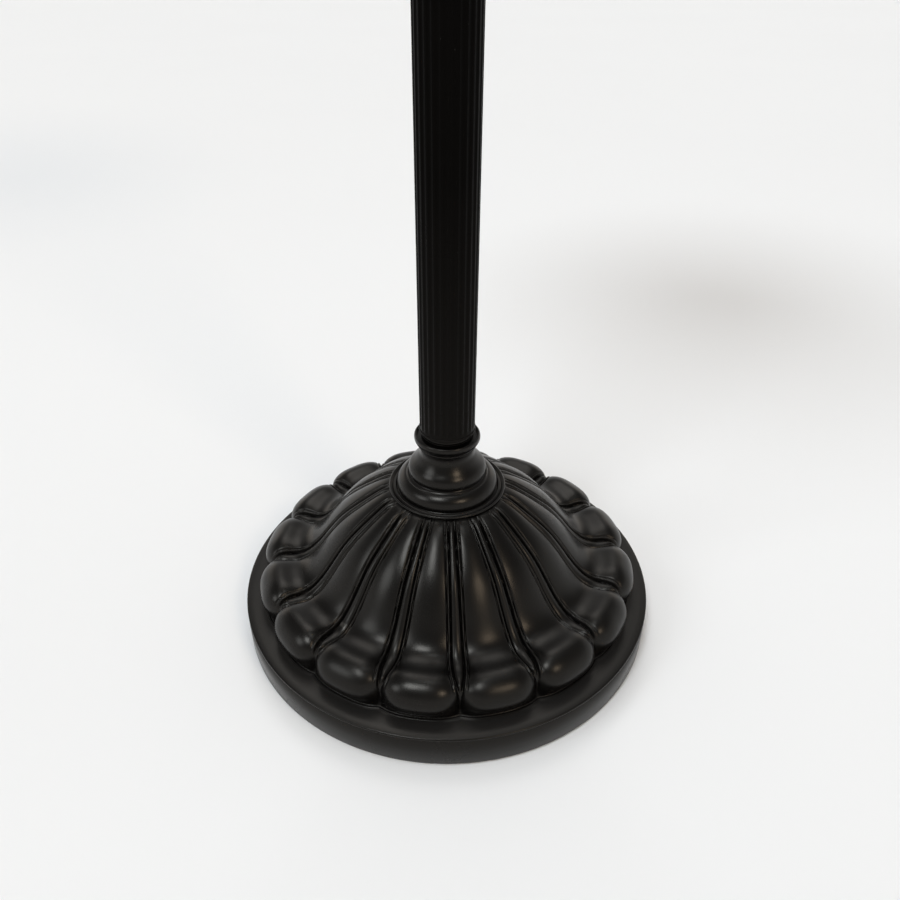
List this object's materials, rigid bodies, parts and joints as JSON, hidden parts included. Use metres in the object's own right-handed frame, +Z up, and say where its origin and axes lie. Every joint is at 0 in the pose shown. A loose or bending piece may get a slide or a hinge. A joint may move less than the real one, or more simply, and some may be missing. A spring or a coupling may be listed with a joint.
{
  "type": "stained glass floor lamp",
  "caption": "Standing lamp with a petalled cast foot, a fluted pole, two pull-chain sockets and a leaded glass dome shade.",
  "frame": {"origin": "on the floor under the centre of the pole", "axes": "+Z up along the pole, the cord bushing in the foot's rim faces +Y, the two sockets lie along X"},
  "size_m": [0.4616, 0.4616, 1.4982],
  "materials": {
    "bronze": "satin near-black bronze paint",
    "iron": "rough as cast",
    "steel": "zinc plated",
    "brass": "aged, dull",
    "felt": "pressed felt",
    "rubber": "matte",
    "insulator": "moulded",
    "lamp_glass": "white frosted",
    "leading": "soldered, dark patina",
    "glass_amber": "streaky opalescent",
    "glass_cream": "streaky opalescent",
    "glass_green": "streaky opalescent",
    "glass_ruby": "streaky opalescent"
  },
  "bodies": {
    "stand": {"petal_base": "bronze", "felt_pad": "felt", "base_weight": "iron", "base_washer": "steel", "base_nut": "steel", "base_pipe": "steel", "cord_bushing": "rubber", "neck_collar": "bronze", "lower_foot_plug": "bronze", "lower_tube": "bronze", "lower_head_plug": "bronze", "joint_ring_1": "bronze", "joint_pipe_1": "steel", "middle_foot_plug": "bronze", "middle_tube": "bronze", "middle_head_plug": "bronze", "joint_ring_2": "bronze", "joint_pipe_2": "steel", "upper_foot_plug": "bronze", "upper_tube": "bronze", "upper_head_plug": "bronze", "pole_cap": "bronze", "hub_stem": "bronze", "socket_hub": "bronze", "hub_lid": "bronze", "riser_sleeve": "bronze", "riser_pipe": "steel", "shade_spider": "brass", "socket_arm_left": "steel", "socket_cap_left": "brass", "socket_shell_left": "brass", "socket_core_left": "insulator", "chain_guide_left": "brass", "socket_arm_right": "steel", "socket_cap_right": "brass", "socket_shell_right": "brass", "socket_core_right": "insulator", "chain_guide_right": "brass"},
    "shade": {"crown_ring": "brass", "skirt_glass": "glass_green", "belt_glass": "glass_ruby", "lower_glass": "glass_amber", "middle_glass": "glass_amber", "upper_glass": "glass_cream", "crown_glass": "glass_cream", "shade_leading": "leading", "vent_cap": "bronze"},
    "finial": {"finial": "bronze"},
    "lamp_left": {"bulb_cap_left": "steel", "bulb_glass_left": "lamp_glass"},
    "lamp_right": {"bulb_cap_right": "steel", "bulb_glass_right": "lamp_glass"},
    "pull_left": {"pull_chain_left": "brass", "chain_knob_left": "brass"},
    "pull_right": {"pull_chain_right": "brass", "chain_knob_right": "brass"}
  },
  "joints": [
    {"name": "shade_turn", "type": "hinge", "parent": "stand", "child": "shade", "pos_m": [0, 0, 1.4362], "axis": [0, 0, 1], "continuous": true},
    {"name": "finial_turn", "type": "hinge", "parent": "stand", "child": "finial", "pos_m": [0, 0, 1.4562], "axis": [0, 0, 1], "continuous": true},
    {"name": "lamp_left_turn", "type": "hinge", "parent": "stand", "child": "lamp_left", "pos_m": [0, 0, 1.2782], "axis": [-0.9659, 0, 0.2588], "continuous": true},
    {"name": "lamp_right_turn", "type": "hinge", "parent": "stand", "child": "lamp_right", "pos_m": [0, 0, 1.2782], "axis": [0.9659, 0, 0.2588], "continuous": true},
    {"name": "pull_left_slide", "type": "slide", "parent": "stand", "child": "pull_left", "axis": [0, 0, -1], "range_m": [0, 0.008], "stiffness_N_per_m": 800, "springref_m": -0.003},
    {"name": "pull_right_slide", "type": "slide", "parent": "stand", "child": "pull_right", "axis": [0, 0, -1], "range_m": [0, 0.008], "stiffness_N_per_m": 800, "springref_m": -0.003}
  ]
}
